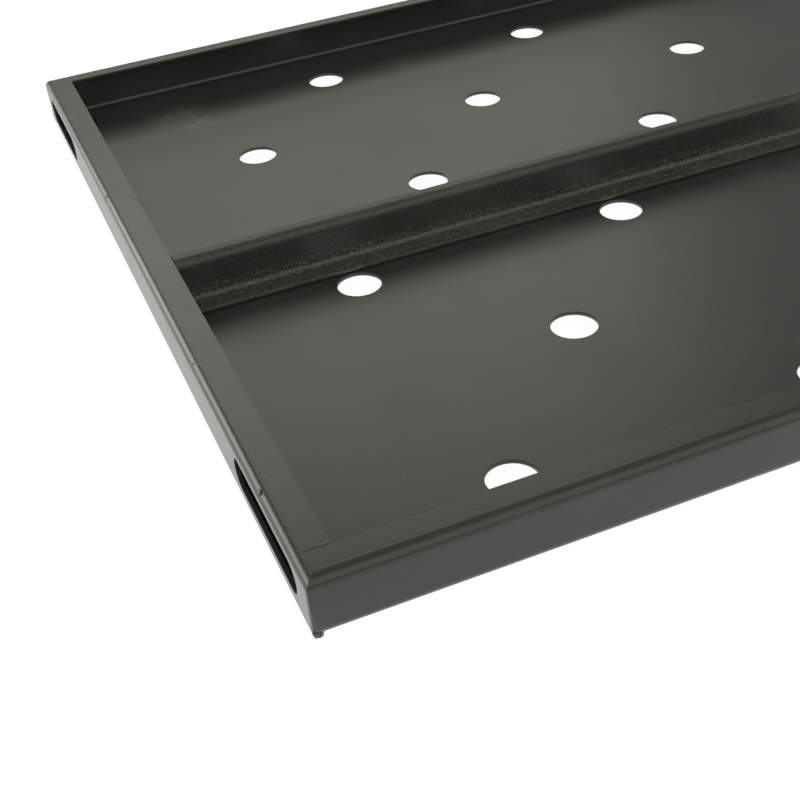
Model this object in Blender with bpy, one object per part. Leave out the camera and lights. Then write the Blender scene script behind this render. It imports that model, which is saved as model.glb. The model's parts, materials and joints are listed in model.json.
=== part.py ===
"""Sheet-steel pedalboard: an open tray with cable holes, end channels, a stiffener and rubber feet.

Metres, +Z up, +Y to the rear.  The origin is on the ground under the middle of the board.
The deck, its front and rear walls and their return flanges are one folded sheet.  An end
channel closes each side, mitred to the walls at the corners: its lower flange laps under the
deck, where the foot screws and blind rivets clamp the two together.  A folded stiffener of
Z section crosses the deck on plug welds.
"""

import math

import bmesh
import bpy

# Board
BOARD_WIDTH = 0.500
BOARD_DEPTH = 0.400
WALL_HEIGHT = 0.021
SHEET = 0.0015
BEND_RADIUS = 0.0022
FRONT_FLANGE = 0.0125
REAR_FLANGE = 0.0100
END_FLANGE = 0.0120
LAP_FLANGE = 0.0240
LAP_SETBACK = 0.0060

# Cable holes
HOLE_DIAMETER = 0.0172
HOLE_COLUMN_PITCH = 0.0575
HOLE_ROW_PITCH = 0.0660
HOLE_END_MARGIN = 0.0700
HOLE_EDGE_MARGIN = 0.0300

# Slots in the end walls
SLOT_LENGTH = 0.0600
SLOT_HEIGHT = 0.0113
SLOT_ABOVE_DECK = 0.0033
SLOT_FROM_CORNER = 0.0110

# Stiffener
STIFFENER_FOOT = 0.0107
STIFFENER_FLANGE = 0.0065
STIFFENER_HEADROOM = 0.0005
HOLE_TO_STIFFENER = 0.0010
PLUG_WELD_DIAMETER = 0.0050
PLUG_WELD_COUNT = 5
PLUG_WELD_END_MARGIN = 0.0400

# Corner welds
CORNER_WELD_LEG = 0.0030
CORNER_WELD_CROWN = 0.0003

# Feet
FOOT_HEIGHT = 0.0050
FOOT_TOP_DIAMETER = 0.0180
FOOT_BASE_DIAMETER = 0.0160
FOOT_EDGE = 0.0008
FOOT_SEAT = 0.0032
FOOT_COUNTERBORE = 0.0094
FOOT_INSET_X = 0.0135
FOOT_INSET_Y = 0.0240

# M4 fasteners
SCREW_DIAMETER = 0.0040
SCREW_LENGTH = 0.0120
SCREW_HEAD_DIAMETER = 0.0080
SCREW_HEAD_HEIGHT = 0.0024
SCREW_EDGE = 0.0005
SOCKET_ACROSS_FLATS = 0.0025
SOCKET_DEPTH = 0.0013
WASHER_DIAMETER = 0.0090
WASHER_THICKNESS = 0.0008
NUT_ACROSS_FLATS = 0.0070
NUT_HEIGHT = 0.0032

# Blind rivets
RIVET_DIAMETER = 0.0032
RIVET_HEAD_DIAMETER = 0.0064
RIVET_HEAD_HEIGHT = 0.0011
RIVET_TAIL_DIAMETER = 0.0046
RIVET_TAIL_HEIGHT = 0.0015
RIVET_TAIL_TAPER = 0.7
RIVET_FROM_MIDDLE = 0.0800

# Fit and facets
GAP = 0.0003
OVERCUT = 0.0050
BEND_STEPS = 4
HOLE_SIDES = 32
SLOT_END_STEPS = 8
RIVET_DOME_STEPS = 3
TURNED_SIDES = 24
SMOOTH_ANGLE = math.radians(35)
WELD_DISTANCE = 0.000001

# Heights and faces that follow from the sizes above
OUTER_RADIUS = BEND_RADIUS + SHEET
FLOOR_SETBACK = OUTER_RADIUS + GAP
MITRE_OFFSET = GAP / math.sqrt(2)
LAP_BOTTOM = FOOT_HEIGHT + GAP
DECK_BOTTOM = LAP_BOTTOM + SHEET + GAP
DECK_TOP = DECK_BOTTOM + SHEET
BOARD_TOP = DECK_BOTTOM + WALL_HEIGHT
HALF_WIDTH = BOARD_WIDTH / 2
HALF_DEPTH = BOARD_DEPTH / 2
HOLE_RADIUS = HOLE_DIAMETER / 2
SCREW_HOLE = SCREW_DIAMETER / 2 + GAP
RIVET_HOLE = RIVET_DIAMETER / 2 + GAP
PLUG_WELD_HOLE = PLUG_WELD_DIAMETER / 2 + GAP
STIFFENER_FRONT = -HOLE_ROW_PITCH / 2 + HOLE_RADIUS + HOLE_TO_STIFFENER
STIFFENER_WEB = STIFFENER_FRONT + STIFFENER_FOOT
STIFFENER_REAR = STIFFENER_WEB - SHEET + STIFFENER_FLANGE
SIDES = (("left", -1), ("right", 1))
ENDS = (("front", -1), ("rear", 1))


def clear_scene():
    for item in list(bpy.data.objects):
        bpy.data.objects.remove(item, do_unlink=True)


def make_material(name, color, roughness, metallic):
    material = bpy.data.materials.new(name)
    material.use_nodes = True
    shader = material.node_tree.nodes["Principled BSDF"]
    shader.inputs["Base Color"].default_value = (*color, 1.0)
    shader.inputs["Roughness"].default_value = roughness
    shader.inputs["Metallic"].default_value = metallic
    return material


def powder_coat(name):
    return make_material(name, (0.030, 0.032, 0.029), 0.34, 0.0)


def black_zinc(name):
    return make_material(name, (0.045, 0.045, 0.047), 0.38, 1.0)


def foot_rubber(name):
    return make_material(name, (0.018, 0.018, 0.018), 0.75, 0.0)


def add_object(name, bm, material=None):
    """Close the bmesh into an object with outward faces and smooth round sides."""
    bmesh.ops.remove_doubles(bm, verts=bm.verts, dist=WELD_DISTANCE)
    bmesh.ops.recalc_face_normals(bm, faces=bm.faces)
    mesh = bpy.data.meshes.new(name)
    bm.to_mesh(mesh)
    bm.free()
    mesh.shade_smooth()
    mesh.set_sharp_from_angle(angle=SMOOTH_ANGLE)
    if material:
        mesh.materials.append(material)
    item = bpy.data.objects.new(name, mesh)
    bpy.context.scene.collection.objects.link(item)
    return item


def add_cutter(name, bm):
    cutter = add_object(name, bm)
    cutter.hide_render = True
    cutter.display_type = "WIRE"
    return cutter


def add_boolean(item, cutter, operation="DIFFERENCE"):
    modifier = item.modifiers.new(cutter.name, "BOOLEAN")
    modifier.operation = operation
    modifier.solver = "EXACT"
    modifier.object = cutter


def extrude_outline(bm, points, offset):
    """Raise a solid from the closed outline given by 3-D points, along the offset vector."""
    face = bm.faces.new([bm.verts.new(point) for point in points])
    raised = bmesh.ops.extrude_face_region(bm, geom=[face])
    moved = [part for part in raised["geom"] if isinstance(part, bmesh.types.BMVert)]
    bmesh.ops.translate(bm, verts=moved, vec=offset)


def add_box(bm, low, high):
    corners = [(low[0], low[1]), (high[0], low[1]), (high[0], high[1]), (low[0], high[1])]
    extrude_outline(bm, [(x, y, low[2]) for x, y in corners], (0, 0, high[2] - low[2]))


def add_drill(bm, x, y, radius, low, high):
    """A round cutter that stands upright between two heights."""
    ring = [2 * math.pi * step / HOLE_SIDES for step in range(HOLE_SIDES)]
    points = [(x + radius * math.cos(a), y + radius * math.sin(a), low) for a in ring]
    extrude_outline(bm, points, (0, 0, high - low))


def unit(vector):
    length = math.hypot(*vector)
    return (vector[0] / length, vector[1] / length)


def arc(center, radius, start, end):
    """Points on a quarter bend, from the start direction to the end direction."""
    first = math.atan2(start[1], start[0])
    turn = math.atan2(end[1], end[0]) - first
    turn = (turn + math.pi) % (2 * math.pi) - math.pi
    angles = [first + turn * step / BEND_STEPS for step in range(BEND_STEPS + 1)]
    return [(center[0] + radius * math.cos(a), center[1] + radius * math.sin(a)) for a in angles]


def folded_strip(path):
    """Outline of a bent sheet whose right-hand face follows the path, seen along the path."""
    heads = [unit((b[0] - a[0], b[1] - a[1])) for a, b in zip(path, path[1:])]
    lefts = [(-head[1], head[0]) for head in heads]
    near = [path[0]]
    far = [(path[0][0] + lefts[0][0] * SHEET, path[0][1] + lefts[0][1] * SHEET)]
    for corner, head, before, after in zip(path[1:-1], heads, lefts, lefts[1:]):
        left_turn = head[0] * after[0] + head[1] * after[1] < 0
        hand = 1 if left_turn else -1
        near_radius, far_radius = (OUTER_RADIUS, BEND_RADIUS) if left_turn else (BEND_RADIUS, OUTER_RADIUS)
        center = [corner[i] + hand * (before[i] + after[i]) * near_radius for i in (0, 1)]
        start = (-hand * before[0], -hand * before[1])
        end = (-hand * after[0], -hand * after[1])
        near.extend(arc(center, near_radius, start, end))
        far.extend(arc(center, far_radius, start, end))
    near.append(path[-1])
    far.append((path[-1][0] + lefts[-1][0] * SHEET, path[-1][1] + lefts[-1][1] * SHEET))
    return near + far[::-1]


def hole_places():
    """Centres of the staggered cable holes: every second place in each row, rows alternating."""
    reach = HALF_WIDTH - HOLE_END_MARGIN
    last_column = int(reach / HOLE_COLUMN_PITCH)
    bay = HALF_DEPTH - HOLE_EDGE_MARGIN - HOLE_ROW_PITCH / 2
    rows_per_bay = int(bay / HOLE_ROW_PITCH) + 1
    places = []
    for row in range(2 * rows_per_bay):
        y = (rows_per_bay - 0.5 - row) * HOLE_ROW_PITCH
        for column in range(-last_column, last_column + 1):
            if (row + column) % 2 == 0:
                places.append((column * HOLE_COLUMN_PITCH, y))
    return places


def foot_places():
    x = HALF_WIDTH - FOOT_INSET_X
    y = HALF_DEPTH - FOOT_INSET_Y
    return [(f"{end}_{side}", sx * x, sy * y) for end, sy in ENDS for side, sx in SIDES]


def rivet_places():
    x = HALF_WIDTH - FOOT_INSET_X
    return [(f"{end}_{side}", sx * x, sy * RIVET_FROM_MIDDLE) for end, sy in ENDS for side, sx in SIDES]


def plug_weld_places():
    first = -HALF_WIDTH + PLUG_WELD_END_MARGIN
    pitch = -2 * first / (PLUG_WELD_COUNT - 1)
    y = (STIFFENER_FRONT + STIFFENER_WEB - OUTER_RADIUS) / 2
    return [(first + pitch * index, y) for index in range(PLUG_WELD_COUNT)]


def drill_joints(bm, low, high):
    """Clearance holes for the foot screws and the rivets."""
    for _, x, y in foot_places():
        add_drill(bm, x, y, SCREW_HOLE, low, high)
    for _, x, y in rivet_places():
        add_drill(bm, x, y, RIVET_HOLE, low, high)


def make_deck():
    """One folded sheet: floor, front and rear walls and their return flanges."""
    path = [
        (-HALF_DEPTH + FRONT_FLANGE, BOARD_TOP),
        (-HALF_DEPTH, BOARD_TOP),
        (-HALF_DEPTH, DECK_BOTTOM),
        (HALF_DEPTH, DECK_BOTTOM),
        (HALF_DEPTH, BOARD_TOP),
        (HALF_DEPTH - REAR_FLANGE, BOARD_TOP),
    ]
    bm = bmesh.new()
    extrude_outline(bm, [(-HALF_WIDTH, y, z) for y, z in folded_strip(path)], (BOARD_WIDTH, 0, 0))
    deck = add_object("deck_panel", bm, powder_coat("deck coat"))
    add_boolean(deck, deck_drills())
    add_boolean(deck, deck_end_trims())


def deck_drills():
    low = DECK_BOTTOM - OVERCUT
    high = DECK_TOP + OVERCUT
    bm = bmesh.new()
    for x, y in hole_places():
        add_drill(bm, x, y, HOLE_RADIUS, low, high)
    for x, y in plug_weld_places():
        add_drill(bm, x, y, PLUG_WELD_HOLE, low, high)
    drill_joints(bm, low, high)
    return add_cutter("deck_drills", bm)


def deck_end_trims():
    """Mitre the corners in plan, and stop the floor clear of the end channels' bends."""
    tip = (HALF_WIDTH + OVERCUT, HALF_DEPTH + OVERCUT + MITRE_OFFSET)
    heel = (HALF_WIDTH - FLOOR_SETBACK, HALF_DEPTH - FLOOR_SETBACK + MITRE_OFFSET)
    low = LAP_BOTTOM - OVERCUT
    bm = bmesh.new()
    for _, side in SIDES:
        plan = [(tip[0], -tip[1]), (tip[0], tip[1]), (heel[0], heel[1]), (heel[0], -heel[1])]
        points = [(side * x, y, low) for x, y in plan]
        extrude_outline(bm, points, (0, 0, BOARD_TOP + OVERCUT - low))
    return add_cutter("deck_end_trims", bm)


def make_end_channel(side_name, side):
    """An end wall with a top flange between the rails and a lap flange under the deck."""
    path = [
        (-HALF_WIDTH + END_FLANGE, BOARD_TOP),
        (-HALF_WIDTH, BOARD_TOP),
        (-HALF_WIDTH, LAP_BOTTOM),
        (-HALF_WIDTH + LAP_FLANGE, LAP_BOTTOM),
    ]
    points = [(-side * x, -HALF_DEPTH, z) for x, z in folded_strip(path)]
    bm = bmesh.new()
    extrude_outline(bm, points, (0, BOARD_DEPTH, 0))
    name = f"{side_name}_end_channel"
    channel = add_object(name, bm, powder_coat(f"{side_name} end coat"))
    add_boolean(channel, channel_mitres(name, side))
    add_boolean(channel, channel_notches(name, side))
    add_boolean(channel, channel_openings(name, side))


def channel_mitres(name, side):
    """Wedges that cut the end wall back to the mitre line at both corners."""
    tip = (HALF_WIDTH + OVERCUT, HALF_DEPTH + OVERCUT - MITRE_OFFSET)
    heel = (HALF_WIDTH - FLOOR_SETBACK, HALF_DEPTH - FLOOR_SETBACK - MITRE_OFFSET)
    past = HALF_DEPTH + 2 * OVERCUT
    low = LAP_BOTTOM - OVERCUT
    bm = bmesh.new()
    for _, end in ENDS:
        plan = [tip, heel, (heel[0], past), (tip[0], past)]
        points = [(side * x, end * y, low) for x, y in plan]
        extrude_outline(bm, points, (0, 0, BOARD_TOP + OVERCUT - low))
    return add_cutter(f"{name}_mitres", bm)


def channel_notches(name, side):
    """Corner notches: the top flange stops at the rails, the lap flange short of the walls."""
    xs = sorted((side * (HALF_WIDTH - OUTER_RADIUS), side * (HALF_WIDTH - LAP_FLANGE - OVERCUT)))
    top = (BOARD_TOP - OUTER_RADIUS, BOARD_TOP + OVERCUT)
    lap = (LAP_BOTTOM - OVERCUT, DECK_BOTTOM)
    cuts = (
        (-1, FRONT_FLANGE + GAP, top),
        (1, REAR_FLANGE + GAP, top),
        (-1, LAP_SETBACK, lap),
        (1, LAP_SETBACK, lap),
    )
    bm = bmesh.new()
    for end, length, (low, high) in cuts:
        ys = sorted((end * (HALF_DEPTH - length), end * (HALF_DEPTH + OVERCUT)))
        add_box(bm, (xs[0], ys[0], low), (xs[1], ys[1], high))
    return add_cutter(f"{name}_notches", bm)


def channel_openings(name, side):
    """Two long slots above deck level, and the holes for screws and rivets."""
    bm = bmesh.new()
    for _, end in ENDS:
        center = end * (HALF_DEPTH - SLOT_FROM_CORNER - SLOT_LENGTH / 2)
        add_slot(bm, side, center)
    drill_joints(bm, LAP_BOTTOM - OVERCUT, LAP_BOTTOM + SHEET + GAP)
    return add_cutter(f"{name}_openings", bm)


def add_slot(bm, side, center_y):
    """A round-ended cutter through an end wall, a little above the deck."""
    radius = SLOT_HEIGHT / 2
    reach = SLOT_LENGTH / 2 - radius
    middle = DECK_TOP + SLOT_ABOVE_DECK + radius
    quarter = math.pi / 2
    steps = [math.pi * step / SLOT_END_STEPS for step in range(SLOT_END_STEPS + 1)]
    outline = [(reach + radius * math.cos(a - quarter), radius * math.sin(a - quarter)) for a in steps]
    outline += [(-y, -z) for y, z in outline]
    inner = side * (HALF_WIDTH - SHEET - OVERCUT)
    points = [(inner, center_y + y, middle + z) for y, z in outline]
    extrude_outline(bm, points, (side * (SHEET + 2 * OVERCUT), 0, 0))


def make_stiffener():
    """Z section across the deck: a foot that faces front, an upright web and a top flange to the rear."""
    low = DECK_TOP + GAP
    under_flange = BOARD_TOP - STIFFENER_HEADROOM - SHEET
    path = [
        (STIFFENER_FRONT, low),
        (STIFFENER_WEB, low),
        (STIFFENER_WEB, under_flange),
        (STIFFENER_REAR, under_flange),
    ]
    end = HALF_WIDTH - END_FLANGE - GAP
    bm = bmesh.new()
    extrude_outline(bm, [(-end, y, z) for y, z in folded_strip(path)], (2 * end, 0, 0))
    add_object("center_stiffener", bm, powder_coat("stiffener coat"))


def make_plug_welds():
    """Weld metal that fills holes in the deck, up to the stiffener's foot."""
    for index, (x, y) in enumerate(plug_weld_places(), start=1):
        bm = bmesh.new()
        add_drill(bm, x, y, PLUG_WELD_DIAMETER / 2, DECK_BOTTOM, DECK_TOP)
        add_object(f"stiffener_plug_weld_{index}", bm, powder_coat(f"plug weld coat {index}"))


def make_corner_welds():
    """Fillet welds up the inner corners, between an end wall and the front or rear wall."""
    low = DECK_BOTTOM + OUTER_RADIUS + GAP
    high = BOARD_TOP - OUTER_RADIUS - GAP
    for end_name, end in ENDS:
        for side_name, side in SIDES:
            x = side * (HALF_WIDTH - SHEET - GAP)
            y = end * (HALF_DEPTH - SHEET - GAP)
            middle = CORNER_WELD_LEG / 2 + CORNER_WELD_CROWN
            profile = ((0, 0), (CORNER_WELD_LEG, 0), (middle, middle), (0, CORNER_WELD_LEG))
            points = [(x - side * px, y - end * py, low) for px, py in profile]
            bm = bmesh.new()
            extrude_outline(bm, points, (0, 0, high - low))
            name = f"corner_weld_{end_name}_{side_name}"
            add_object(name, bm, powder_coat(f"{end_name} {side_name} weld coat"))


def turned(name, profile, material, closed=False):
    """Turn a profile of radius and height pairs about +Z; a closed one makes a ring."""
    bm = bmesh.new()
    verts = [bm.verts.new((radius, 0, z)) for radius, z in profile]
    pairs = list(zip(verts, verts[1:]))
    if closed:
        pairs.append((verts[-1], verts[0]))
    edges = [bm.edges.new(pair) for pair in pairs]
    bmesh.ops.spin(
        bm, geom=verts + edges, cent=(0, 0, 0), axis=(0, 0, 1),
        angle=2 * math.pi, steps=TURNED_SIDES, use_merge=True,
    )
    return add_object(name, bm, material)


def hexagon(bm, across_flats, low, high):
    radius = across_flats / math.sqrt(3)
    angles = [math.pi * step / 3 for step in range(6)]
    points = [(radius * math.cos(a), radius * math.sin(a), low) for a in angles]
    extrude_outline(bm, points, (0, 0, high - low))


def make_foot(name, x, y):
    """Tapered rubber foot with a deep seat for the screw head."""
    top = FOOT_TOP_DIAMETER / 2
    base = FOOT_BASE_DIAMETER / 2
    seat = FOOT_COUNTERBORE / 2
    profile = [
        (seat, 0),
        (base - FOOT_EDGE, 0),
        (base, FOOT_EDGE),
        (top, FOOT_HEIGHT),
        (SCREW_HOLE, FOOT_HEIGHT),
        (SCREW_HOLE, FOOT_SEAT),
        (seat, FOOT_SEAT),
    ]
    foot = turned(f"foot_{name}", profile, foot_rubber(f"rubber {name}"), closed=True)
    foot.location = (x, y, 0)


def make_screw(name, x, y):
    """Pan-head screw that comes up through the foot, with a hexagon socket."""
    top = FOOT_SEAT - GAP
    bottom = top - SCREW_HEAD_HEIGHT
    head = SCREW_HEAD_DIAMETER / 2
    shank = SCREW_DIAMETER / 2
    tip = top + SCREW_LENGTH
    profile = [
        (0, bottom),
        (head - SCREW_EDGE, bottom),
        (head, bottom + SCREW_EDGE),
        (head, top),
        (shank, top),
        (shank, tip - SCREW_EDGE),
        (shank - SCREW_EDGE, tip),
        (0, tip),
    ]
    screw = turned(f"foot_screw_{name}", profile, black_zinc(f"screw zinc {name}"))
    screw.location = (x, y, 0)
    bm = bmesh.new()
    hexagon(bm, SOCKET_ACROSS_FLATS, bottom - OVERCUT, bottom + SOCKET_DEPTH)
    socket = add_cutter(f"foot_screw_{name}_socket", bm)
    socket.location = (x, y, 0)
    add_boolean(screw, socket)


def make_washer(name, x, y):
    low = DECK_TOP + GAP
    outer = WASHER_DIAMETER / 2
    high = low + WASHER_THICKNESS
    profile = [(SCREW_HOLE, low), (outer, low), (outer, high), (SCREW_HOLE, high)]
    washer = turned(f"foot_washer_{name}", profile, black_zinc(f"washer zinc {name}"), closed=True)
    washer.location = (x, y, 0)


def make_nut(name, x, y):
    low = DECK_TOP + GAP + WASHER_THICKNESS + GAP
    bm = bmesh.new()
    hexagon(bm, NUT_ACROSS_FLATS, low, low + NUT_HEIGHT)
    nut = add_object(f"foot_nut_{name}", bm, black_zinc(f"nut zinc {name}"))
    nut.location = (x, y, 0)
    bm = bmesh.new()
    add_drill(bm, 0, 0, SCREW_HOLE, low - OVERCUT, low + NUT_HEIGHT + OVERCUT)
    bore = add_cutter(f"foot_nut_{name}_bore", bm)
    bore.location = (x, y, 0)
    add_boolean(nut, bore)


def make_rivet(name, x, y):
    """Blind rivet: domed head on the deck, set tail under the lap flange."""
    head = RIVET_HEAD_DIAMETER / 2
    shank = RIVET_DIAMETER / 2
    tail = RIVET_TAIL_DIAMETER / 2
    seat = DECK_TOP + GAP
    under = LAP_BOTTOM - GAP
    slopes = [math.pi / 2 * step / RIVET_DOME_STEPS for step in range(RIVET_DOME_STEPS - 1, -1, -1)]
    crown = [(0, seat + RIVET_HEAD_HEIGHT)]
    dome = crown + [(head * math.cos(a), seat + RIVET_HEAD_HEIGHT * math.sin(a)) for a in slopes]
    shaft = [(shank, seat), (shank, under), (tail, under)]
    tip = under - RIVET_TAIL_HEIGHT
    foot = [(tail * RIVET_TAIL_TAPER, tip), (0, tip)]
    rivet = turned(f"lap_rivet_{name}", dome + shaft + foot, black_zinc(f"rivet zinc {name}"))
    rivet.location = (x, y, 0)


def make_foot_sets():
    for name, x, y in foot_places():
        make_foot(name, x, y)
        make_screw(name, x, y)
        make_washer(name, x, y)
        make_nut(name, x, y)


def main():
    clear_scene()
    make_deck()
    for side_name, side in SIDES:
        make_end_channel(side_name, side)
    make_stiffener()
    make_plug_welds()
    make_corner_welds()
    make_foot_sets()
    for name, x, y in rivet_places():
        make_rivet(name, x, y)


main()
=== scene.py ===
import json
import math
import random

import bmesh
import bpy
from mathutils import Matrix, Vector


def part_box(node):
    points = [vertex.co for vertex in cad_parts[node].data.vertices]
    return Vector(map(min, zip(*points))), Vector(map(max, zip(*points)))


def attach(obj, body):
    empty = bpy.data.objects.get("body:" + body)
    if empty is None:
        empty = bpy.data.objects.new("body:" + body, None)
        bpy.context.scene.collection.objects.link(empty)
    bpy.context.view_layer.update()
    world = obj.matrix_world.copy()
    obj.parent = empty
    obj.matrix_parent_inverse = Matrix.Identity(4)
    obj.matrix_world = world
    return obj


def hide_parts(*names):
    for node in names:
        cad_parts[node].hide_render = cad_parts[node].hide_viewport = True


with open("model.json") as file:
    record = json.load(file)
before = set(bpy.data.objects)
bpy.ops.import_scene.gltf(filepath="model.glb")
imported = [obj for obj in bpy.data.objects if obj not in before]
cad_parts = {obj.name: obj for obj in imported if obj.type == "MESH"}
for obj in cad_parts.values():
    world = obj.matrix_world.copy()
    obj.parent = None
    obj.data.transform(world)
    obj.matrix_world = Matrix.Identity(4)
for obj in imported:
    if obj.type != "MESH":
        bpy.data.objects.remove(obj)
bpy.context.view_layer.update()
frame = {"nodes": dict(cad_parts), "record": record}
print("frame loaded:", len(frame["nodes"]), "nodes")


hair = 1e-5  # places closer than this are taken as the same


# selecting and shaping, as by hand

def deselectAll():
    if bpy.context.object and bpy.context.object.mode != "OBJECT":
        bpy.ops.object.mode_set(mode="OBJECT")
    bpy.ops.object.select_all(action="DESELECT")


def makeActive(item):
    deselectAll()
    item.select_set(True)
    bpy.context.view_layer.objects.active = item


def newest(name):
    item = bpy.context.object
    item.name = name
    item.data.name = name
    return item


def pick(item, kind, test):  # leaves item in edit mode with what passes the test selected
    makeActive(item)
    bpy.ops.object.mode_set(mode="EDIT")
    bpy.ops.mesh.select_mode(type=kind)
    bpy.ops.mesh.select_all(action="DESELECT")
    shape = bmesh.from_edit_mesh(item.data)
    for part in (shape.faces if kind == "FACE" else shape.edges):
        part.select_set(bool(test(part)))
    shape.select_flush_mode()
    bmesh.update_edit_mesh(item.data)


def doneEditing():
    bpy.ops.object.mode_set(mode="OBJECT")


def middle(part):
    points = [vert.co for vert in part.verts]
    return sum(points, Vector()) / len(points)


def runsAlong(edge, axis):
    step = edge.verts[0].co - edge.verts[1].co
    return abs(step[axis]) > 0.99 * step.length


def extrude(step):
    bpy.ops.mesh.extrude_region_move(TRANSFORM_OT_translate={"value": step})


def box(name, low, high):
    deselectAll()
    center = [(a + b) / 2 for a, b in zip(low, high)]
    bpy.ops.mesh.primitive_cube_add(size=1, location=center, scale=[b - a for a, b in zip(low, high)])
    item = newest(name)
    bpy.ops.object.transform_apply(location=True, rotation=True, scale=True)
    return item


def plane(name, width, depth, center):
    deselectAll()
    bpy.ops.mesh.primitive_plane_add(size=1, location=center)
    item = newest(name)
    item.scale = (width, depth, 1)
    bpy.ops.object.transform_apply(location=True, rotation=True, scale=True)
    return item


def rod(name, center, radius, depth, sides=48):  # upright
    deselectAll()
    bpy.ops.mesh.primitive_cylinder_add(vertices=sides, radius=radius, depth=depth, location=center)
    item = newest(name)
    bpy.ops.object.transform_apply(location=True, rotation=True, scale=True)
    return item


def turned(name, profile, sides=48, ring=False):  # from radius and height pairs, about the Z axis
    deselectAll()
    bpy.ops.mesh.primitive_circle_add(
        vertices=sides, radius=profile[0][0], location=(0, 0, profile[0][1]), fill_type="NOTHING")
    item = newest(name)
    bpy.ops.object.transform_apply(location=True, rotation=True, scale=True)
    bpy.ops.object.mode_set(mode="EDIT")
    bpy.ops.mesh.select_mode(type="EDGE")
    bpy.ops.mesh.select_all(action="SELECT")
    for before, after in zip(profile, profile[1:]):
        extrude((0, 0, after[1] - before[1]))
        ratio = after[0] / before[0]
        bpy.ops.transform.resize(value=(ratio, ratio, 1), center_override=(0, 0, after[1]))
    doneEditing()
    pick(item, "EDGE", lambda e: e.is_boundary)
    if ring:
        bpy.ops.mesh.bridge_edge_loops()
    else:
        bpy.ops.mesh.fill_holes(sides=0)
    bpy.ops.mesh.select_all(action="SELECT")
    bpy.ops.mesh.normals_make_consistent(inside=False)
    doneEditing()
    return item


def joined(items, name):
    deselectAll()
    for item in items:
        item.select_set(True)
    bpy.context.view_layer.objects.active = items[0]
    bpy.ops.object.join()
    return newest(name)


def applied(item, kind, **settings):
    makeActive(item)
    modifier = item.modifiers.new(kind.lower(), kind)
    for name, value in settings.items():
        setattr(modifier, name, value)
    bpy.ops.object.modifier_apply(modifier=modifier.name)


def cut(item, cutter, operation="DIFFERENCE"):
    applied(item, "BOOLEAN", operation=operation, solver="EXACT", object=cutter)
    bpy.data.objects.remove(cutter)


def softened(item, width, segments=2, angle=35):  # rounds every sharp edge
    applied(item, "BEVEL", width=width, segments=segments, limit_method="ANGLE",
            angle_limit=math.radians(angle), use_clamp_overlap=True)
    smoothed(item)


def smoothed(item):  # smooth bends, while flat faces stay flat
    makeActive(item)
    bpy.ops.object.shade_smooth_by_angle(angle=math.radians(50))
    applied(item, "WEIGHTED_NORMAL", keep_sharp=True, mode="FACE_AREA")


def copied(item, name, offset=(0, 0, 0)):
    twin = item.copy()
    twin.data = item.data.copy()
    twin.name = name
    twin.data.name = name
    bpy.context.scene.collection.objects.link(twin)
    twin.data.transform(Matrix.Translation(offset))
    return twin


def fitted(item, node, material):  # stands for a CAD node and rides with the board
    item.data.materials.clear()
    item.data.materials.append(material)
    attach(item, "root")
    if node:
        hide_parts(node)


# materials

class Shade:  # an output socket whose arithmetic adds Math nodes
    def __init__(self, tree, socket=None):
        self.tree = tree
        self.socket = socket

    def node(self, kind, settings=None, sockets=None, out=0):
        made = self.tree.nodes.new(kind)
        for name, value in (settings or {}).items():
            if name == "stops":
                self.setStops(made.color_ramp, value)
            else:
                setattr(made, name, value)
        for name, value in (sockets or {}).items():
            if isinstance(value, Shade):
                self.tree.links.new(value.socket, made.inputs[name])
            else:
                made.inputs[name].default_value = value
        return Shade(self.tree, made.outputs[out])

    def setStops(self, ramp, stops):
        while len(ramp.elements) < len(stops):
            ramp.elements.new(0.5)
        for element, (place, level) in zip(ramp.elements, stops):
            element.position = place
            element.color = (level, level, level, 1)

    def math(self, operation, first, second, clamp=False):
        settings = {"operation": operation, "use_clamp": clamp}
        return self.node("ShaderNodeMath", settings, {0: first, 1: second})

    def __add__(self, other):
        return self.math("ADD", self, other)

    def __sub__(self, other):
        return self.math("SUBTRACT", self, other)

    def __rsub__(self, other):
        return self.math("SUBTRACT", other, self)

    def __mul__(self, other):
        return self.math("MULTIPLY", self, other)

    __radd__ = __add__
    __rmul__ = __mul__

    def noise(self, place, scale, detail=2.0, roughness=0.5):
        sockets = {"Vector": place, "Scale": scale, "Detail": detail, "Roughness": roughness}
        return self.node("ShaderNodeTexNoise", {"noise_dimensions": "3D"}, sockets)

    def ramp(self, stops):
        return self.node("ShaderNodeValToRGB", {"stops": stops}, {"Fac": self})

    def blend(self, factor, first, second):
        settings = {"data_type": "RGBA", "blend_type": "MIX"}
        return self.node("ShaderNodeMix", settings, {0: factor, 6: first, 7: second}, out=2)


def newMaterial(name):
    material = bpy.data.materials.new(name)
    material.use_nodes = True
    tree = material.node_tree
    shader = tree.nodes["Principled BSDF"]
    place = Shade(tree).node("ShaderNodeTexCoord", out=3)
    return material, tree, shader, place


def addBump(tree, shader, place, height):  # height in metres
    bump = place.node("ShaderNodeBump", {}, {"Strength": 1.0, "Distance": 1.0, "Height": height})
    tree.links.new(bump.socket, shader.inputs["Normal"])


powder = {
    "color": (0.0290, 0.0300, 0.0255, 1),
    "dust": (0.075, 0.076, 0.066, 1),
    "roughness": 0.31,
    "peelSize": 900,  # sizes of patterns are in bumps per metre
    "peelHeight": 0.00003,
    "grainSize": 4200,
    "grainHeight": 0.000006,
    "pebbleSize": 1100,
    "pebbleHeight": 0.00016,
    "smudgeSize": 22,
    "speckSize": 1500,
    "streakSize": 380,
    "scuffs": (((-0.199, 0.163, 0.0086), 0.015), ((-0.190, 0.167, 0.0086), 0.011),
               ((-0.187, 0.150, 0.0086), 0.012)),
    # colour of the real scuffs, and also of the painted highlight specks on the stiffener
    "scuffColor": (0.15, 0.15, 0.13, 1),
    "sparkle": 0.95,
    "sparkleHeight": 0.025,  # the height above the ground that the ramp of painted glints (highlight specks painted into the colour) spans
}


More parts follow.
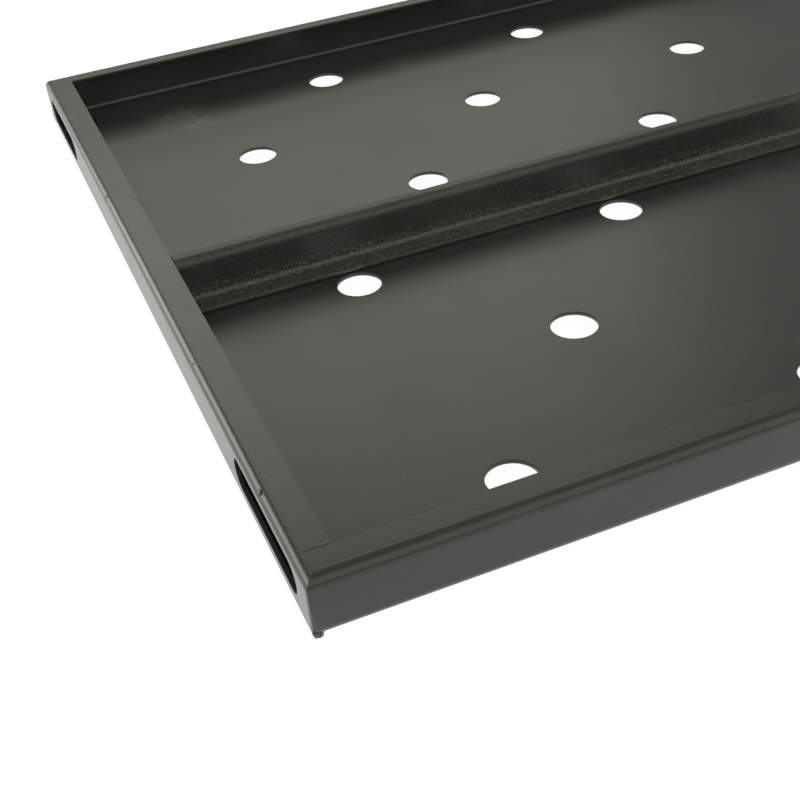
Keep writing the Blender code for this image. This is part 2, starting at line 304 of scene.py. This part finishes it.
def powderCoat(name, grain=1.0, roughness=0.0, dusting=1.0, pebbleAndPaintedGlint=0.0, scuffs=()):
    material, tree, shader, place = newMaterial(name)
    peel = place.noise(place, powder["peelSize"], 1.5)
    fine = place.noise(place, powder["grainSize"], 2.0)
    cloud = place.noise(place, powder["smudgeSize"], 4.0, 0.6)
    smudge = cloud.ramp([(0.48, 0), (0.72, 1)])
    speck = place.noise(place, powder["speckSize"], 0.0).ramp([(0.76, 0), (0.80, 1)])
    dust = (smudge * 0.25 + speck * 0.8) * dusting
    color = place.blend(dust, powder["color"], powder["dust"])
    for center, radius in scuffs:
        sockets = {0: place, 1: center}
        away = place.node("ShaderNodeVectorMath", {"operation": "DISTANCE"}, sockets, out=1)
        near = (away * (1 / radius)).ramp([(0.15, 1), (1.0, 0)])
        streak = place.noise(place, powder["streakSize"], 6.0, 0.75).ramp([(0.42, 0), (0.74, 1)])
        color = place.blend(near * streak, color, powder["scuffColor"])
    if pebbleAndPaintedGlint:  # painted highlights: bright glint specks painted into the base colour, most of them low down so the foot reads lighter than the web
        height = place.node("ShaderNodeSeparateXYZ", {}, {0: place}, out=2)
        low = (height * (1 / powder["sparkleHeight"])).ramp([(0.56, 1), (0.66, 0.16)])
        paintedGlintSpecks = place.noise(place, powder["speckSize"], 3.0, 0.7).ramp([(0.50, 0), (0.62, 1)])
        color = place.blend(paintedGlintSpecks * low * (pebbleAndPaintedGlint * powder["sparkle"]), color, powder["scuffColor"])
    tree.links.new(color.socket, shader.inputs["Base Color"])
    rough = smudge * 0.06 + fine * 0.06 + (powder["roughness"] + roughness - 0.03)
    tree.links.new(rough.socket, shader.inputs["Roughness"])
    height = peel * powder["peelHeight"] + fine * (powder["grainHeight"] * grain)
    if pebbleAndPaintedGlint:
        lump = place.noise(place, powder["pebbleSize"], 3.0, 0.65)
        height = height + lump * (powder["pebbleHeight"] * pebbleAndPaintedGlint)
    addBump(tree, shader, place, height)
    return material


plating = {
    "dark": (0.035, 0.035, 0.038, 1),
    "light": (0.060, 0.060, 0.058, 1),
    "blotchSize": 600,
}


def blackZinc(name):
    material, tree, shader, place = newMaterial(name)
    shader.inputs["Metallic"].default_value = 1.0
    blotch = place.noise(place, plating["blotchSize"], 3.0)
    color = place.blend(blotch, plating["dark"], plating["light"])
    tree.links.new(color.socket, shader.inputs["Base Color"])
    rough = blotch * 0.22 + 0.28
    tree.links.new(rough.socket, shader.inputs["Roughness"])
    return material


molding = {
    "dark": (0.012, 0.012, 0.012, 1),
    "bloom": (0.035, 0.035, 0.034, 1),
    "grainSize": 3000,
    "grainHeight": 0.00004,
    "bloomSize": 160,
}


def footRubber(name):
    material, tree, shader, place = newMaterial(name)
    grain = place.noise(place, molding["grainSize"], 3.0)
    bloom = place.noise(place, molding["bloomSize"], 4.0).ramp([(0.45, 0), (0.75, 1)])
    color = place.blend(bloom, molding["dark"], molding["bloom"])
    tree.links.new(color.socket, shader.inputs["Base Color"])
    rough = grain * 0.15 + 0.68
    tree.links.new(rough.socket, shader.inputs["Roughness"])
    addBump(tree, shader, place, grain * molding["grainHeight"])
    return material


deckCoat = powderCoat("deckPowderCoat", scuffs=powder["scuffs"])
endCoat = powderCoat("endPowderCoat", roughness=-0.07, dusting=0.6)
# pebble sets the real bumps and also the painted highlight specks in the colour
stiffenerCoat = powderCoat("stiffenerPowderCoat", grain=4.0, roughness=0.10, dusting=2.4, pebbleAndPaintedGlint=1.0)
weldCoat = powderCoat("weldPowderCoat", roughness=0.02)
zinc = blackZinc("blackZinc")
rubber = footRubber("footRubber")
print("materials ready")


# places that the frame gives

def boxOf(node):
    low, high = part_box(node)
    return Vector(low), Vector(high)


def openingCenters(start):
    openings = frame["record"]["physics"]["openings"]
    return [sum((Vector(corner) for corner in entry["box_m"]), Vector()) / 2
            for entry in openings if entry["name"].startswith(start)]


boardLow = boxOf("left_end_channel")[0]
deckLow, deckHigh = boxOf("deck_panel")
halfWidth = -boardLow.x
halfDepth = deckHigh.y
lapBottom = boardLow.z
deckBottom = deckLow.z
boardTop = deckHigh.z
cornerNames = [f"{row}_{side}" for row in ("front", "rear") for side in ("left", "right")]

sheet = {
    "thickness": 0.0015,
    "foldRadius": 0.0037,
    "foldSegments": 10,
    "edge": 0.0003,
    "gap": 0.0003,
    "seam": 0.00002,
    "cornerRadius": 0.0015,
}
reach = 0.005  # how far a cutter passes what it cuts


def foldedSheet(item, fold):  # rounds the folds, then gives the sheet its thickness inwards
    pick(item, "EDGE", fold)
    bpy.ops.mesh.bevel(offset=sheet["foldRadius"], segments=sheet["foldSegments"], affect="EDGES")
    doneEditing()
    applied(item, "SOLIDIFY", thickness=sheet["thickness"], offset=-1, use_even_offset=True)


# deck

deck = {
    "holeDiameter": 0.0172,
    "holeSides": 64,
    "frontFlange": 0.0125,
    "rearFlange": 0.0100,
    "screwHole": 0.0023,
    "rivetHole": 0.0019,
}


def makeDeck():
    panel = plane("deckPanel", 2 * halfWidth, 2 * halfDepth, (0, 0, deckBottom))
    rise = boardTop - deckBottom
    for side, flange in ((-1, deck["frontFlange"]), (1, deck["rearFlange"])):
        pick(panel, "EDGE", lambda e: runsAlong(e, 0) and abs(middle(e).y - side * halfDepth) < hair
             and middle(e).z < deckBottom + hair)
        extrude((0, 0, rise))
        extrude((0, -side * flange, 0))
        doneEditing()
    makeActive(panel)
    bpy.ops.object.mode_set(mode="EDIT")
    bpy.ops.mesh.select_all(action="SELECT")
    bpy.ops.mesh.normals_make_consistent(inside=False)
    doneEditing()
    if panel.data.polygons[0].normal.z >= 0:
        panel.data.flip_normals()
    foldedSheet(panel, lambda e: runsAlong(e, 0) and abs(abs(middle(e).y) - halfDepth) < hair)
    cut(panel, deckDrills())
    softened(panel, sheet["edge"])
    cut(panel, roundedPlan(), "INTERSECT")
    cut(panel, deckTrims())
    smoothed(panel)
    fitted(panel, "deck_panel", deckCoat)


def deckDrills():
    depth = 2 * reach
    drills = [rod("drill", (c.x, c.y, deckBottom), deck["holeDiameter"] / 2, depth, deck["holeSides"])
              for c in openingCenters("cable_hole")]
    drills += jointDrills(deckBottom, depth)
    return joined(drills, "deckDrills")


def jointDrills(height, depth):
    drills = []
    for corner in cornerNames:
        foot = sum(boxOf(f"foot_{corner}"), Vector()) / 2
        rivet = sum(boxOf(f"lap_rivet_{corner}"), Vector()) / 2
        for place, radius in ((foot, deck["screwHole"]), (rivet, deck["rivetHole"])):
            drills.append(rod("drill", (place.x, place.y, height), radius, depth, 32))
    return drills


def roundedPlan():  # the whole board as a block, its upright corner edges dressed round
    low = (-halfWidth, -halfDepth, lapBottom - reach)
    high = (halfWidth, halfDepth, boardTop + reach)
    block = box("roundedPlan", low, high)
    pick(block, "EDGE", lambda e: runsAlong(e, 2))
    bpy.ops.mesh.bevel(offset=sheet["cornerRadius"], segments=6, affect="EDGES")
    doneEditing()
    return block


def deckTrims():  # a block over each end, tapered in plan along the mitre lines
    heel = halfWidth - sheet["foldRadius"]
    low, high = lapBottom - reach, boardTop + reach
    tipDepth = halfDepth + reach + sheet["seam"]
    ratio = (halfDepth - sheet["foldRadius"] + sheet["seam"]) / tipDepth
    blocks = []
    for side in (-1, 1):
        xs = sorted((side * heel, side * (halfWidth + reach)))
        block = box("block", (xs[0], -tipDepth, low), (xs[1], tipDepth, high))
        pick(block, "FACE", lambda f: f.normal.x * side < -0.9)
        bpy.ops.transform.resize(value=(1, ratio, 1), center_override=(side * heel, 0, 0))
        doneEditing()
        blocks.append(block)
    return joined(blocks, "deckTrims")


makeDeck()
print("deck made")


# end channels

end = {
    "topFlange": 0.0120,
    "lapFlange": 0.0240,
    "lapSetback": 0.0060,
    "slotLength": 0.0600,
    "slotHeight": 0.0113,
}


def makeEndChannel():
    rise = boardTop - lapBottom
    deselectAll()
    bpy.ops.mesh.primitive_plane_add(size=1, location=(-halfWidth, 0, lapBottom + rise / 2),
                                     rotation=(0, -math.pi / 2, 0))
    channel = newest("leftEndChannel")
    channel.scale = (rise, 2 * halfDepth, 1)
    bpy.ops.object.transform_apply(location=True, rotation=True, scale=True)
    for height, flange in ((boardTop, end["topFlange"]), (lapBottom, end["lapFlange"])):
        pick(channel, "EDGE", lambda e: runsAlong(e, 1) and abs(middle(e).z - height) < hair
             and middle(e).x < hair - halfWidth)
        extrude((flange, 0, 0))
        doneEditing()
    if channel.data.polygons[0].normal.x > 0:
        channel.data.flip_normals()
    foldedSheet(channel, lambda e: runsAlong(e, 1) and abs(middle(e).x + halfWidth) < hair)
    cut(channel, endNotches())
    cut(channel, endSlots())
    cut(channel, joined(jointDrills(lapBottom, 2 * reach), "lapDrills"))
    softened(channel, sheet["edge"])
    cut(channel, roundedPlan(), "INTERSECT")
    cut(channel, endMitres())
    smoothed(channel)
    return channel


def endMitres():  # wedges in front of the mitre line at both corners
    wedges = []
    for side in (-1, 1):
        xs = (-halfWidth - reach, -halfWidth + sheet["foldRadius"])
        ys = sorted((side * (halfDepth + reach), side * (halfDepth - sheet["foldRadius"])))
        wedge = box("wedge", (xs[0], ys[0], lapBottom - reach), (xs[1], ys[1], boardTop + reach))
        makeActive(wedge)
        bpy.ops.object.mode_set(mode="EDIT")
        bpy.ops.mesh.select_all(action="SELECT")
        bpy.ops.mesh.bisect(plane_co=(-halfWidth, side * halfDepth, 0), plane_no=(1, side, 0),
                            use_fill=True, clear_inner=True)
        doneEditing()
        wedges.append(wedge)
    return joined(wedges, "endMitres")


def endNotches():
    inner = -halfWidth + end["lapFlange"] + reach
    near = -halfWidth + sheet["foldRadius"]
    top = (boardTop - sheet["foldRadius"], boardTop + reach)
    lap = (lapBottom - reach, deckBottom)
    cuts = (
        (-1, deck["frontFlange"] + sheet["seam"], top),
        (1, deck["rearFlange"] + sheet["seam"], top),
        (-1, end["lapSetback"], lap),
        (1, end["lapSetback"], lap),
    )
    blocks = []
    for side, length, (low, high) in cuts:
        ys = sorted((side * (halfDepth - length), side * (halfDepth + reach)))
        blocks.append(box("block", (near, ys[0], low), (inner, ys[1], high)))
    return joined(blocks, "endNotches")


def endSlots():
    slots = []
    radius = end["slotHeight"] / 2
    for place in openingCenters("end_slot"):
        if place.x < 0:
            half = Vector((reach, end["slotLength"] / 2, radius))
            slot = box("slot", place - half, place + half)
            pick(slot, "EDGE", lambda e: runsAlong(e, 0))
            bpy.ops.mesh.bevel(offset=radius * 0.999, segments=10, affect="EDGES")
            doneEditing()
            slots.append(slot)
    return joined(slots, "endSlots")


def mirrored(item, name):
    twin = copied(item, name)
    twin.data.transform(Matrix.Scale(-1, 4, (1, 0, 0)))
    makeActive(twin)
    bpy.ops.object.mode_set(mode="EDIT")
    bpy.ops.mesh.select_all(action="SELECT")
    bpy.ops.mesh.remove_doubles(threshold=hair / 10)
    bpy.ops.mesh.normals_make_consistent(inside=False)
    doneEditing()
    return twin


weld = {
    "radius": 0.0021,
    "step": 0.0013,
    "wobble": 0.00025,
    "voxel": 0.00025,
    "cornerInset": 0.45,  # parts of the radius
    "cornerShort": 0.6,
    "lumpRadius": 0.0014,
    "lumpThin": 0.8,
    "lumpRise": 0.0034,
    "lumpInset": 0.00168,
}


def bead(name, start, finish, radius, seed):  # overlapping puddles of weld metal, melted together
    chance = random.Random(seed)
    line = finish - start
    count = max(2, int(line.length / weld["step"]))
    puddles = []
    for index in range(count + 1):
        drift = Vector([chance.uniform(-1, 1) * weld["wobble"] for _ in range(3)])
        deselectAll()
        bpy.ops.mesh.primitive_ico_sphere_add(
            subdivisions=2, radius=radius * chance.uniform(0.9, 1.1),
            location=start + line * index / count + drift)
        puddles.append(newest("puddle"))
    item = joined(puddles, name)
    makeActive(item)
    bpy.ops.object.transform_apply(location=True, rotation=True, scale=True)
    applied(item, "REMESH", mode="VOXEL", voxel_size=weld["voxel"], use_smooth_shade=True)
    applied(item, "SMOOTH", factor=0.5, iterations=2)
    return item


def makeSeamLumps():  # weld metal that closes each bottom corner, where wall and end channel meet
    radius = weld["lumpRadius"]
    inset = weld["lumpInset"]
    setback = end["lapSetback"]
    lumps = []
    for number, side in enumerate((-1, 1)):
        corner = Vector((-halfWidth, side * halfDepth, lapBottom))
        start = corner + Vector((inset * 0.75, -side * inset * 0.75, weld["lumpRise"]))
        finish = corner + Vector((inset * 1.5, -side * inset * 0.9, radius * 1.15))
        lumps.append(bead("lump", start, finish, radius * weld["lumpThin"], seed=number + 31))
        start = corner + Vector((inset * 1.6, -side * inset * 2.2, radius))
        finish = corner + Vector((setback * 0.7, -side * setback, radius))
        lumps.append(bead("lump", start, finish, radius, seed=number + 41))
    return lumps


leftEnd = joined([makeEndChannel()] + makeSeamLumps(), "leftEndChannel")
rightEnd = mirrored(leftEnd, "rightEndChannel")


nibs = {  # hardened drips of powder on the left fold: place along the board, radius
    "places": ((0.0565, 0.0006), (-0.1565, 0.0009), (-0.0820, 0.0004)),
    "flatness": 0.45,
}


def makeNibs():
    made = []
    turn = math.radians(45)
    onFold = sheet["foldRadius"] * (1 - math.cos(turn))
    for y, radius in nibs["places"]:
        deselectAll()
        bpy.ops.mesh.primitive_ico_sphere_add(
            subdivisions=3, radius=radius, location=(-halfWidth + onFold, y, boardTop - onFold),
            rotation=(0, -turn, 0), scale=(1, 1.6, nibs["flatness"]))
        nib = newest("nib")
        bpy.ops.object.transform_apply(location=True, rotation=True, scale=True)
        bpy.ops.object.shade_smooth()
        made.append(nib)
    return made


leftEnd = joined([leftEnd] + makeNibs(), "leftEndChannel")
fitted(leftEnd, "left_end_channel", endCoat)
fitted(rightEnd, "right_end_channel", endCoat)
print("end channels made")


# stiffener

stiffener = {
    "foot": 0.0107,
    "flange": 0.0065,
    "edge": 0.0003,
}


def makeStiffener():
    low, high = boxOf("center_stiffener")
    web = low.y + stiffener["foot"]
    underFlange = high.z - sheet["thickness"]
    bar = plane("centerStiffener", high.x - low.x, stiffener["foot"], (0, (low.y + web) / 2, low.z))
    pick(bar, "EDGE", lambda e: runsAlong(e, 0) and abs(middle(e).y - web) < hair)
    extrude((0, 0, underFlange - low.z))
    extrude((0, high.y - web, 0))
    bpy.ops.mesh.select_all(action="SELECT")
    bpy.ops.mesh.normals_make_consistent(inside=False)
    doneEditing()
    if bar.data.polygons[0].normal.z > 0:
        bar.data.flip_normals()
    pick(bar, "EDGE", lambda e: runsAlong(e, 0) and middle(e).z > underFlange - hair
         and middle(e).y < web + hair)
    backRadius = sheet["foldRadius"] - sheet["thickness"]
    bpy.ops.mesh.bevel(offset=backRadius, segments=sheet["foldSegments"], affect="EDGES")
    doneEditing()
    foldedSheet(bar, lambda e: runsAlong(e, 0) and abs(middle(e).y - web) < hair
                and middle(e).z < low.z + hair)
    softened(bar, stiffener["edge"])
    fitted(bar, "center_stiffener", stiffenerCoat)


makeStiffener()
print("stiffener made")


# welds

def makeCornerWelds():
    for number, corner in enumerate(cornerNames):
        node = f"corner_weld_{corner}"
        low, high = boxOf(node)
        x = low.x if low.x < 0 else high.x
        y = low.y if low.y < 0 else high.y
        inset = weld["radius"] * weld["cornerInset"]
        short = weld["radius"] * weld["cornerShort"]
        place = Vector((x - math.copysign(inset, x), y - math.copysign(inset, y), 0))
        start = place + Vector((0, 0, low.z + short))
        finish = place + Vector((0, 0, high.z - short))
        item = bead(f"cornerWeld{number + 1}", start, finish, weld["radius"], seed=number + 3)
        fitted(item, node, weldCoat)


plug = {
    "spread": 0.0003,  # past the hole's edge
    "drop": 0.0001,
    "outerRing": 0.45,  # parts of the radius
    "innerRing": 0.30,
    "rise": 0.0003,
    "dip": 0.0002,
    "edge": 0.0002,
}


def makePlugWelds():
    nodes = sorted(name for name in frame["nodes"] if name.startswith("stiffener_plug_weld"))
    for number, node in enumerate(nodes):
        low, high = boxOf(node)
        center = (low + high) / 2
        center.z -= plug["drop"]
        radius = (high.x - low.x) / 2 + sheet["gap"] + plug["spread"]
        item = rod(f"plugWeld{number + 1}", center, radius, high.z - low.z)
        pick(item, "FACE", lambda f: f.normal.z < -0.9)
        bpy.ops.mesh.inset(thickness=radius * plug["outerRing"], depth=plug["rise"])
        bpy.ops.mesh.inset(thickness=radius * plug["innerRing"], depth=-plug["dip"])
        doneEditing()
        softened(item, plug["edge"], segments=3, angle=12)
        fitted(item, node, weldCoat)


makeCornerWelds()
makePlugWelds()
print("welds made")


# feet, screws, washers, nuts and rivets, each modelled once on the Z axis

foot = {
    "profile": ((0.0047, 0.0000), (0.0072, 0.0000), (0.0077, 0.0002), (0.0080, 0.0008),
                (0.0083, 0.0022), (0.0082, 0.0024), (0.0084, 0.0026), (0.0090, 0.0050),
                (0.0024, 0.0050), (0.0024, 0.0032), (0.0047, 0.0032)),
    "edge": 0.00015,
}

screw = {
    "profile": ((0.0030, 0.0005), (0.0037, 0.0007), (0.0040, 0.0013), (0.0040, 0.0029), (0.0018, 0.0029),
                (0.0018, 0.0143), (0.0013, 0.0149)),
    "pitch": 0.0007,
    "threadRadius": 0.00175,
    "threadStart": 0.0036,
    "turns": 15,
    "socketRadius": 0.00144,
    "socketDepth": 0.0013,
    "edge": 0.0001,
}

nut = {
    "acrossCorners": 0.00808,
    "lensTip": 0.97,  # parts of half the width across flats
    "bore": 0.0021,
    "chamfer": 0.0005,
    "edge": 0.00008,
}

washer = {
    "inner": 0.0022,
    "outer": 0.0045,
    "edge": 0.0001,
}

rivet = {
    "head": ((0.0006, -0.0005), (0.0007, 0.0000), (0.0013, -0.00004), (0.0021, -0.00022),
             (0.0028, -0.0006), (0.0032, -0.0010), (0.0032, -0.0011), (0.0016, -0.0011)),
    "tail": ((0.0016, 0.0015), (0.0023, 0.0015), (0.0024, 0.0009), (0.0019, 0.0003), (0.0010, 0.0000)),
    "edge": 0.00006,
}


def threadCoil(name):
    deselectAll()
    bpy.ops.mesh.primitive_circle_add(
        vertices=3, radius=screw["pitch"] * 0.5, fill_type="NOTHING",
        location=(screw["threadRadius"], 0, screw["threadStart"]),
        rotation=(math.pi / 2, math.pi / 2, 0))
    coil = newest(name)
    bpy.ops.object.transform_apply(location=True, rotation=True, scale=True)
    applied(coil, "SCREW", axis="Z", angle=2 * math.pi, screw_offset=screw["pitch"],
            iterations=screw["turns"], steps=32, render_steps=32, use_normal_calculate=True)
    return coil


def makeScrew():
    body = turned("screw", screw["profile"])
    bottom = screw["profile"][0][1]
    cut(body, rod("socket", (0, 0, bottom), screw["socketRadius"], 2 * screw["socketDepth"], 6))
    softened(body, screw["edge"])
    return joined([body, threadCoil("thread")], "screw")


def makeNut(low, high):
    radius = nut["acrossCorners"] / 2
    flat = radius * math.cos(math.pi / 6)
    body = rod("nut", (0, 0, (low + high) / 2), radius, high - low, 6)
    body.data.transform(Matrix.Rotation(math.pi / 6, 4, "Z"))
    tip = flat * nut["lensTip"]
    drop = nut["chamfer"]
    lens = turned("lens", ((tip, low), (radius, low + drop), (radius, high - drop), (tip, high)))
    cut(body, lens, "INTERSECT")
    cut(body, rod("bore", (0, 0, low), nut["bore"], 4 * (high - low)))
    softened(body, nut["edge"])
    return body


def makeWasher(low, high):
    inner, outer = washer["inner"], washer["outer"]
    profile = [(inner, low), (outer, low), (outer, high), (inner, high)]
    body = turned("washer", profile, 64, ring=True)
    softened(body, washer["edge"])
    return body


def makeRivet(low, high):
    profile = [(radius, high + z) for radius, z in rivet["head"]]
    profile += [(radius, low + z) for radius, z in rivet["tail"]]
    body = turned("rivet", profile)
    softened(body, rivet["edge"])
    return body


def makeFoot():
    body = turned("foot", foot["profile"], 64, ring=True)
    softened(body, foot["edge"])
    return body


def placeSet(master, start, material):  # one copy of the master at each corner
    for number, corner in enumerate(cornerNames):
        node = f"{start}_{corner}"
        low, high = boxOf(node)
        center = (low + high) / 2
        item = copied(master, f"{master.name}{number + 1}", (center.x, center.y, 0))
        fitted(item, node, material)
    bpy.data.objects.remove(master)


def heights(node):
    low, high = boxOf(node)
    return low.z, high.z


placeSet(makeFoot(), "foot", rubber)
placeSet(makeScrew(), "foot_screw", zinc)
placeSet(makeWasher(*heights("foot_washer_front_left")), "foot_washer", zinc)
placeSet(makeNut(*heights("foot_nut_front_left")), "foot_nut", zinc)
placeSet(makeRivet(*heights("lap_rivet_front_left")), "lap_rivet", zinc)
print("feet and fasteners made")


# floor, light and camera

stage = {
    "size": 12.0,
    "color": (0.12, 0.12, 0.12, 1),
    "roughness": 0.9,
    "glow": 0.96,
    "glowColor": (1.0, 1.0, 1.0, 1),
}


def makeFloor():
    floor = plane("floor", stage["size"], stage["size"], (0, 0, 0))
    material = bpy.data.materials.new("paleFloor")
    material.use_nodes = True
    shader = material.node_tree.nodes["Principled BSDF"]
    shader.inputs["Base Color"].default_value = stage["color"]
    shader.inputs["Roughness"].default_value = stage["roughness"]
    shader.inputs["Emission Color"].default_value = stage["glowColor"]
    shader.inputs["Emission Strength"].default_value = stage["glow"]
    floor.data.materials.append(material)


def softbox(name, place, size, radiance):  # faces the board's middle
    light = bpy.data.lights.new(name, "AREA")
    light.shape = "RECTANGLE"
    light.size, light.size_y = size
    light.energy = radiance * math.pi * size[0] * size[1]
    light.color = lights["color"]
    item = bpy.data.objects.new(name, light)
    bpy.context.scene.collection.objects.link(item)
    item.location = place
    item.rotation_euler = (-Vector(place)).to_track_quat("-Z", "Y").to_euler()


lights = {
    "world": (1.0, 1.0, 0.93, 1),
    "worldStrength": 0.38,
    "color": (1.0, 1.0, 0.88),
    "rear": {"place": (0.19, 2.11, 1.51), "size": (2.3, 1.08), "radiance": 1.35},
    "side": {"place": (-1.8, 1.75, 0.55), "size": (1.7, 1.0), "radiance": 3.6},
    "front": {"place": (0.55, -1.95, 1.9), "size": (3.4, 2.4), "radiance": 0.95},
}


def makeLights():
    world = bpy.data.worlds.new("studio")
    world.use_nodes = True
    world.node_tree.nodes["Background"].inputs["Color"].default_value = lights["world"]
    world.node_tree.nodes["Background"].inputs["Strength"].default_value = lights["worldStrength"]
    bpy.context.scene.world = world
    for name in ("rear", "side", "front"):
        softbox(f"{name}Softbox", **lights[name])


view = {
    "place": (-0.3030, -0.44705, 0.26758),
    "azimuth": 18.931,
    "elevation": 36.060,
    "roll": -5.942,
    "lens": 58.74,
    "sensor": 36,
    "nearest": 0.01,
}


def makeCamera():
    camera = bpy.data.objects.new("camera", bpy.data.cameras.new("camera"))
    bpy.context.scene.collection.objects.link(camera)
    camera.data.lens = view["lens"]
    camera.data.sensor_width = view["sensor"]
    camera.data.clip_start = view["nearest"]
    heading = Matrix.Rotation(-math.radians(view["azimuth"]), 4, "Z")
    tilt = Matrix.Rotation(math.radians(90 - view["elevation"]), 4, "X")
    roll = Matrix.Rotation(math.radians(view["roll"]), 4, "Z")
    camera.matrix_world = Matrix.Translation(view["place"]) @ heading @ tilt @ roll
    bpy.context.scene.camera = camera


makeFloor()
makeLights()
makeCamera()
bpy.context.scene.view_settings.view_transform = "Standard"
print("stage ready")
